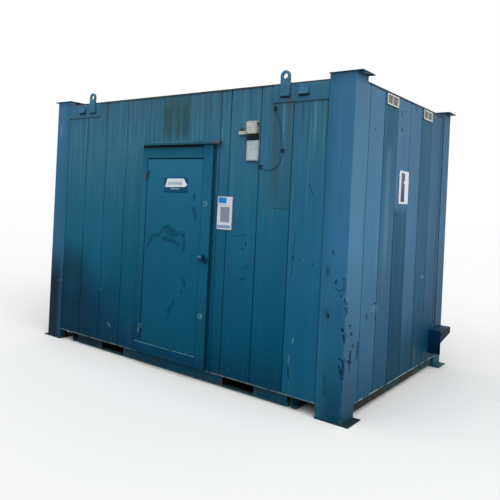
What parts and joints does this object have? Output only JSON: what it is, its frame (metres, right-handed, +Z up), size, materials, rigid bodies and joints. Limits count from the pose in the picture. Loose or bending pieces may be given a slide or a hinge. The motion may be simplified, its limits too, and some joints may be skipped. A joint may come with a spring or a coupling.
{
  "type": "portable site cabin",
  "caption": "Steel portable site cabin with folded corner posts, ribbed panel walls, fork pockets, lifting lugs, wall vents, a door lamp and one outward-opening door.",
  "frame": {"origin": "centre of the outside box at ground level", "axes": "+X along the door wall to the right as seen from outside, -Y out of the door, +Z up"},
  "size_m": [3.835, 2.56, 2.756],
  "materials": {
    "base_paint": "dull faded teal paint, chipped",
    "floor_board": "worn board",
    "post_paint": "satin blue paint with streaks",
    "long_wall_paint": "satin blue-green paint, weathered",
    "end_wall_paint": "satin steel-blue paint, weathered",
    "roof_sheet": "dull grey-blue paint",
    "lifting_paint": "satin blue paint with rust at the edges",
    "door_frame_paint": "satin blue-green paint",
    "hinge_steel": "painted over, worn bare at the edges",
    "door_paint": "satin blue-green paint, scuffed",
    "lock_metal": "dull",
    "vent_plastic": "off-white, dirty",
    "lamp_plastic": "off-white",
    "box_plastic": "pale grey",
    "dark_plastic": "dark",
    "cable_sheath": "dark, painted over in places",
    "hood_paint": "satin blue paint"
  },
  "bodies": {
    "cabin": {"base_rail_front": "base_paint", "base_rail_rear": "base_paint", "base_rail_left": "base_paint", "base_rail_right": "base_paint", "fork_pocket_left": "base_paint", "fork_pocket_right": "base_paint", "cross_joists": "base_paint", "floor_deck": "floor_board", "corner_post_front_left": "post_paint", "corner_post_front_right": "post_paint", "corner_post_rear_left": "post_paint", "corner_post_rear_right": "post_paint", "front_wall_left": "long_wall_paint", "front_wall_right": "long_wall_paint", "front_wall_over_door": "long_wall_paint", "rear_wall": "long_wall_paint", "left_end_wall": "end_wall_paint", "right_end_wall": "end_wall_paint", "roof_panel": "roof_sheet", "header_plates_front": "lifting_paint", "header_plates_rear": "lifting_paint", "lifting_lug_front_left": "lifting_paint", "lifting_lug_front_right": "lifting_paint", "lifting_lug_rear_left": "lifting_paint", "lifting_lug_rear_right": "lifting_paint", "door_head": "door_frame_paint", "door_jamb_hinge": "door_frame_paint", "door_jamb_lock": "door_frame_paint", "door_threshold": "door_frame_paint", "drip_channel": "door_frame_paint", "hinge_pins": "hinge_steel", "vents_right": "vent_plastic", "vents_left": "vent_plastic", "lamp_housing": "lamp_plastic", "lamp_bracket": "dark_plastic", "lamp_sensor": "lamp_plastic", "junction_box": "box_plastic", "lamp_cable": "cable_sheath", "cable_clips": "dark_plastic", "service_hood": "hood_paint"},
    "door": {"hinge_sleeves": "hinge_steel", "door_leaf": "door_paint", "lock_cover_plate": "door_paint", "door_knob": "lock_metal", "lock_escutcheons": "lock_metal"}
  },
  "joints": [
    {"name": "door_hinge", "type": "hinge", "parent": "cabin", "child": "door", "pos_m": [-0.34, -1.229, 1.1285], "axis": [0, 0, -1], "range_deg": [0, 115]}
  ]
}
